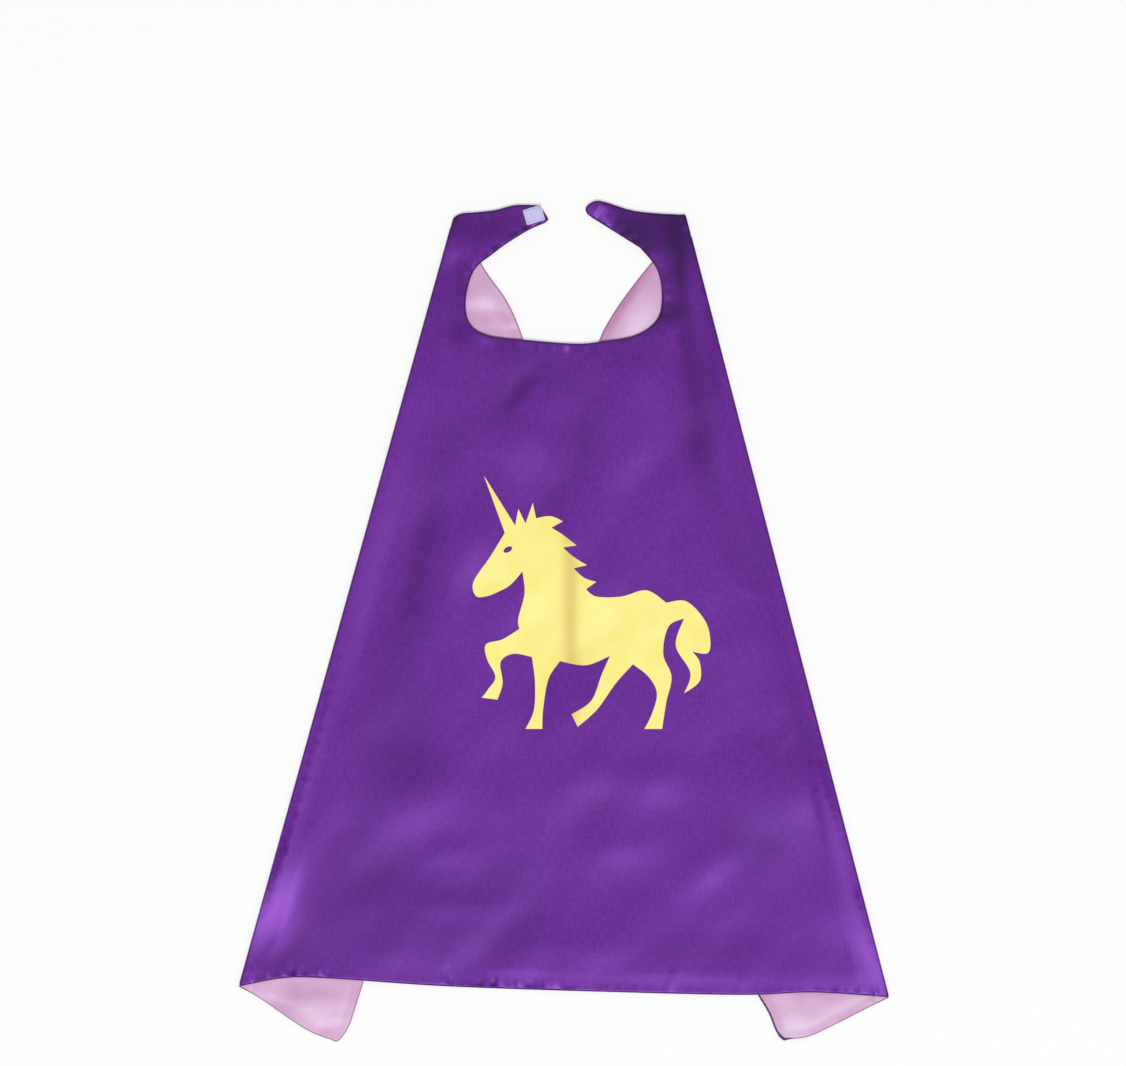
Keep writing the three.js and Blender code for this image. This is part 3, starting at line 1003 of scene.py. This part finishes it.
# a painted highlight over the loop tape's square
TAPE_PAINTED_HIGHLIGHT = 0.9
FOIL_PAINTED_SHADE = 0.8  # the foil's painted hollow shade, as a share of the satin's
FOIL_CREASE_SHADE = 0.7  # painted shade on the foil beside the packing crease
FOIL_CREASE_X = 3  # in millimetres to its right
FOIL_CREASE_REACH = 7


def neighbour_mean(values):
    """Each vertex's mean over its neighbours."""
    edges = edges_of(tris)
    total, count = np.zeros(len(values)), np.zeros(len(values))
    np.add.at(total, edges[:, 0], values[edges[:, 1]])
    np.add.at(count, edges[:, 0], 1)
    return total / np.maximum(count, 1)


def painted_hollow_shade():
    """Painted shade: 0 on open cloth, rising where it dips below the cloth around, and close to a
    seam.
    """
    around = middle[:, 2].copy()
    for _ in range(HOLLOW_ROUNDS):
        around = neighbour_mean(around)
    dip = HOLLOW_PAINTED_SHADE * smooth(around - middle[:, 2], 0.05 * MM, 0.7 * MM)
    return dip + HOLLOW_PAINTED_SHADE * np.exp(-((from_edge / (1.1 * MM)) ** 2))


def painted_satin_light():
    """Painted shade and painted highlights on the satin: darker shoulders, the listed shades, gathers
    included, a dark fold crease and a pale loop tape square.
    """
    to_right = smooth(flat[:, 0], -20 * MM, 100 * MM)
    shade = smooth(flat[:, 1], 190 * MM, 340 * MM) * (SHOULDER_PAINTED_SHADE + RIGHT_PAINTED_SHADE * to_right)
    shade += sum(swell(flat, *one) for one in SHADES) / MM
    shade -= PUCKER_PAINTED_LIGHT * puckers(from_edge, place) / MM
    turned = fold_up(flat)[2]
    shade += FOLD_PAINTED_SHADE * smooth(turned, 0.06, 0.3) * (1 - smooth(turned, 0.6, 0.95))
    return shade - TAPE_PAINTED_HIGHLIGHT * tape_press(flat) / MM


# painted shade and painted highlights for each vertex of the satin and of the lining
painted_shading = painted_hollow_shade()
satin_shade = np.clip(painted_shading + painted_satin_light(), -0.75, 1)
lining_shade = painted_shading + sum(swell(middle, *one) for one in LINING_SHADES) / MM
pattern3 = np.column_stack([flat, np.zeros(len(flat))])
STANDS_FOR = {
    BACK: [BACK],
    "left_fold": [BACK, "left_flap"],
    "right_fold": [BACK, "right_flap"],
    "left_flap": ["left_flap"],
    "right_flap": ["right_flap"],
    "left_tab": [BACK, "left_tab"],
    "right_tab": [BACK, "right_tab"],
}
SLOTS = {"satin": "purple_satin", "lining": "pink_lining"}


def turned_under(piece_region, depth):
    """The seam allowance of a front edge, which shows darker through the thin lining."""
    strength = {"right_flap": 0.3, "left_flap": 0.1}.get(piece_region, 0)
    return strength * (1 - smooth(depth, 6 * MM, 8.5 * MM))


def cloth_pieces():
    """Every piece of satin and lining, as closed thin shells."""
    for name, side_tris, outer, inner, normals in LAYERS:
        for piece_region, bodies in STANDS_FOR.items():
            chosen = region == piece_region
            obj, used = shell(f"{piece_region}_{name}_cloth", chosen, outer, inner, side_tris, normals,
                              MATERIALS[SLOTS[name]])
            shade = satin_shade[used]
            if name == "lining":
                shade = lining_shade[used] + turned_under(piece_region, from_edge[used])
            add_attributes(obj, np.tile(pattern3[used], (2, 1)), np.tile(shade, 2))
            settle(obj, piece_region, [f"{body}_{name}" for body in bodies])


def badge_piece():
    """The foil emblem, lying on the satin's own triangles."""
    _, side_tris, outer, _, normals = LAYERS[0]
    base, film = (outer + height * normals for height in FOIL)
    obj, used = shell("emblem_foil", on_badge, film, base, side_tris, normals, MATERIALS["gold_foil"])
    # painted shade on the foil beside the packing crease and in its hollows
    across = flat[used, 0] / MM - CREASE_X - FOIL_CREASE_X
    crease_shade = FOIL_CREASE_SHADE * np.exp(-(across / FOIL_CREASE_REACH) ** 2)
    shade = np.clip(painted_shading[used] * FOIL_PAINTED_SHADE + crease_shade, 0, 1)
    add_attributes(obj, np.tile(pattern3[used], (2, 1)), np.tile(shade, 2))
    settle(obj, BACK, ["emblem"])


# ---- seams
def runs(edges):
    """Edges joined up into paths."""
    after = {int(a): int(b) for a, b in edges}
    starts = [a for a in after if a not in set(after.values())] or list(after)[:1]
    paths = []
    for start in starts:
        path = [start]
        while path[-1] in after and (len(path) == 1 or path[-1] != start):
            path.append(after.pop(path[-1]))
        paths.append(path)
    return paths


def tube(centres, across, upward, half_width, half_height, sides=8):
    """A closed tube along a path; its section is an ellipse across the path."""
    turns = np.arange(sides) * 2 * math.pi / sides
    count = len(centres)
    around = (np.cos(turns)[None, :, None] * (across * half_width[:, None])[:, None, :]
              + np.sin(turns)[None, :, None] * (upward * half_height[:, None])[:, None, :])
    points = (centres[:, None, :] + around).reshape(-1, 3)
    faces = []
    for i in range(count - 1):
        for j in range(sides):
            k = (j + 1) % sides
            faces.append((i * sides + j, i * sides + k, (i + 1) * sides + k, (i + 1) * sides + j))
    faces.append(tuple(range(sides))[::-1])
    faces.append(tuple((count - 1) * sides + j for j in range(sides)))
    return points, faces


def joined(parts):
    points, faces, first = [], [], 0
    for some_points, some_faces in parts:
        points.append(some_points)
        faces += [tuple(v + first for v in face) for face in some_faces]
        first += len(some_points)
    return np.concatenate(points), faces


def roll_size(piece_region, centre):
    """How full the edge's roll is: thin on the flaps, but full where the right one shows satin."""
    if piece_region == "left_flap":
        return FLAP_SEAM
    if piece_region == "right_flap":
        front = 1 - smooth(centre[:, 0], 196 * MM, 206 * MM)
        from_knot = np.hypot(centre[:, 0] - KNOT_XY[0], centre[:, 1] - KNOT_XY[1])
        knot = KNOT[0] * np.exp(-(from_knot / KNOT[1]) ** 2)
        return FLAP_SEAM + FRONT_SEAM * front * smooth(-centre[:, 1], 326 * MM, 338 * MM) + knot
    return 1


def directions(path):
    """The unit direction of a path at each of its points."""
    ahead = np.gradient(path, axis=0)
    return ahead / np.linalg.norm(ahead, axis=1)[:, None]


def seam_pieces():
    """The stitched roll that runs round every edge, split where the cloth is."""
    names_at = tree_of(outline)
    edge_set = {tuple(e) for e in rim_edges(tris).tolist()}
    for piece_region in STANDS_FOR:
        part = tris[region == piece_region]
        own = [e for e in rim_edges(part).tolist() if tuple(e) in edge_set]
        tubes, nodes = [], set()
        for path in runs(own):
            centre = middle[path]
            ahead = directions(centre)
            outward = np.cross(ahead, up[path])
            outward /= np.linalg.norm(outward, axis=1)[:, None]
            wide = (1 + 0.1 * np.sin(place[path] / SEAM_PLY)) * roll_size(piece_region, centre)
            tall = SEAM_R * np.minimum(SEAM_TALL[0] * wide, SEAM_TALL[1])
            centre = centre + outward * SEAM_OUT
            centre[:, 2] = np.maximum(centre[:, 2], tall + TABLE_GAP)
            tubes.append(tube(centre, outward, np.cross(outward, ahead), SEAM_R * wide, tall))
            for v in path[1:-1]:
                nodes.add(outline_names[names_at.find((*flat[v], 0))[1]] + "_seam")
        points, faces = joined(tubes)
        obj = add_mesh(f"{piece_region}_seam_roll", points, faces, MATERIALS["purple_thread"])
        add_attributes(obj, points, np.zeros(len(points)))
        settle(obj, piece_region, sorted(nodes))


# ---- hook and loop tape
def on_cloth(points, height):
    """Points of the plan set at a height from the middle of the cloth there (not on a flap)."""
    return np.column_stack([points, laid(points)[:, 2] + height])


def tape_piece(name, node, tab, above, seed):
    """A square of tape, its face covered with a fine pile."""
    side = 1 if above else -1
    ring = stepped(loops_of(node)[0], TAPE_STEP[0])
    grid = hex_grid(ring.min(axis=0), ring.max(axis=0), TAPE_STEP[1])
    depth, _ = Nearest(ring).query(grid)
    grid = grid[inside(grid, ring) & (depth > 0.3 * MM)]
    plan, faces = meshed(ring, grid, [])
    depth, _ = Nearest(ring).query(plan)
    draw = np.random.RandomState(seed)
    pile = draw.uniform(-0.12, 0.2, len(plan)) * MM * smooth(depth, 1.2 * MM, 2.2 * MM)
    border = 0.3 * MM * smooth(depth, 1.0 * MM, 2.0 * MM) - 0.22 * MM * (depth < 0.2 * MM)
    outer = on_cloth(plan, side * (OUTER + TAPE_BASE + pile + border))
    inner = on_cloth(plan, side * (OUTER + 0.03 * MM))
    faces = faces if above else faces[:, ::-1]
    obj, used = shell(name, np.ones(len(faces), bool), outer, inner, faces, normals_of(outer, faces),
                      MATERIALS["lavender_tape"])
    add_attributes(obj, np.tile(outer[used], (2, 1)), np.zeros(2 * len(used)))
    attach(obj, tab)
    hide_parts(node)


def stitch_piece(name, node, tape_node, tab, heights, slot):
    """A square of dashes sewn round inside the tape's edge, on both faces of what it holds."""
    ring = ring_inside(stepped(loops_of(tape_node)[0], 1 * MM), STITCH_IN)
    gaps = np.linalg.norm(np.roll(ring, -1, axis=0) - ring, axis=1)
    places = np.concatenate([[0], np.cumsum(gaps)])
    closed = np.vstack([ring, ring[:1]])
    arch = np.sin(np.linspace(0.18, math.pi - 0.18, STITCH_ROWS))
    wide, tall = (radius * arch for radius in STITCH_R)
    dashes = []
    for first in np.arange(0, places[-1] - 2 * MM, STITCH_PITCH):
        at = first + np.linspace(0, STITCH_LENGTH, STITCH_ROWS)
        plan = np.column_stack([np.interp(at, places, closed[:, i]) for i in range(2)])
        for height in heights:
            centre = on_cloth(plan, height + math.copysign(0.12 * MM, height) * arch)
            ahead = directions(centre)
            outward = np.cross(ahead, (0, 0, 1))
            dashes.append(tube(centre, outward, np.cross(outward, ahead), wide, tall, 6))
    points, faces = joined(dashes)
    obj = add_mesh(name, points, faces, MATERIALS[slot])
    add_attributes(obj, points, np.zeros(len(points)))
    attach(obj, tab)
    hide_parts(node)


# ==== Floor, light and camera
TABLE_HALF = 3.0
TABLE_Z = -0.2 * MM
TABLE_GREY = (0.6, 0.6, 0.6, 1)
TABLE_GLOW = 0.36  # keeps the shadow as faint as in the photo
FOCAL_LENGTH = 300  # in millimetres: almost without perspective
SENSOR_WIDTH = 36
VIEW_WIDTH = 1.0044  # of the picture, at the height of the back
VIEW_MIDDLE = (-0.0008, 0.0787)


def floor():
    mesh = bpy.data.meshes.new("table")
    turns = ((-1, -1), (1, -1), (1, 1), (-1, 1))
    corners = [(x * TABLE_HALF, y * TABLE_HALF, TABLE_Z) for x, y in turns]
    mesh.from_pydata(corners, [], [(0, 1, 2, 3)])
    made = Nodes("table_white")
    made.set(Base_Color=TABLE_GREY, Roughness=0.9, Specular_IOR_Level=0.1,
             Emission_Color=(1, 1, 1, 1), Emission_Strength=TABLE_GLOW)
    mesh.materials.append(made.material)
    add_object("table", mesh)


def area_light(name, azimuth, lean, distance, size, power):
    """A soft light above the cape: azimuth 0 is the hem side, lean is from straight up (degrees)."""
    a, e = math.radians(azimuth), math.radians(lean)
    back = Vector((math.sin(a) * math.sin(e), -math.cos(a) * math.sin(e), math.cos(e)))
    data = bpy.data.lights.new(name, "AREA")
    data.shape = "RECTANGLE"
    data.size, data.size_y = size
    data.energy = power
    lamp = add_object(name, data)
    lamp.location = back * distance
    lamp.rotation_mode = "QUATERNION"
    lamp.rotation_quaternion = back.to_track_quat("Z", "Y")


def world(strength):
    made = bpy.data.worlds.new("studio")
    made.use_nodes = True
    made.node_tree.nodes["Background"].inputs["Color"].default_value = (1, 1, 1, 1)
    made.node_tree.nodes["Background"].inputs["Strength"].default_value = strength
    bpy.context.scene.world = made


def camera():
    data = bpy.data.cameras.new("camera")
    data.lens = FOCAL_LENGTH
    data.sensor_width = SENSOR_WIDTH
    obj = add_object("camera", data)
    obj.location = (*VIEW_MIDDLE, BACK_Z + VIEW_WIDTH / SENSOR_WIDTH * FOCAL_LENGTH)
    bpy.context.scene.camera = obj


cloth_pieces()
badge_piece()
seam_pieces()
tape_piece("hook_tape_square", "hook_tape", "left_tab", above=True, seed=31)
tape_piece("loop_tape_square", "loop_tape", "right_tab", above=False, seed=32)
stitch_piece("hook_sewing", "hook_stitches", "hook_tape", "left_tab", (TAPE_TOP, -OUTER),
             "lavender_thread")
stitch_piece("loop_sewing", "loop_stitches", "loop_tape", "right_tab", (OUTER, -TAPE_TOP),
             "purple_thread")
floor()
world(strength=0.48)
area_light("hem_softbox", azimuth=8, lean=22, distance=15, size=(4.0, 2.9), power=1180)
area_light("overhead", azimuth=180, lean=14, distance=8, size=(7, 7), power=70)
camera()
bpy.context.scene.view_settings.view_transform = "Standard"
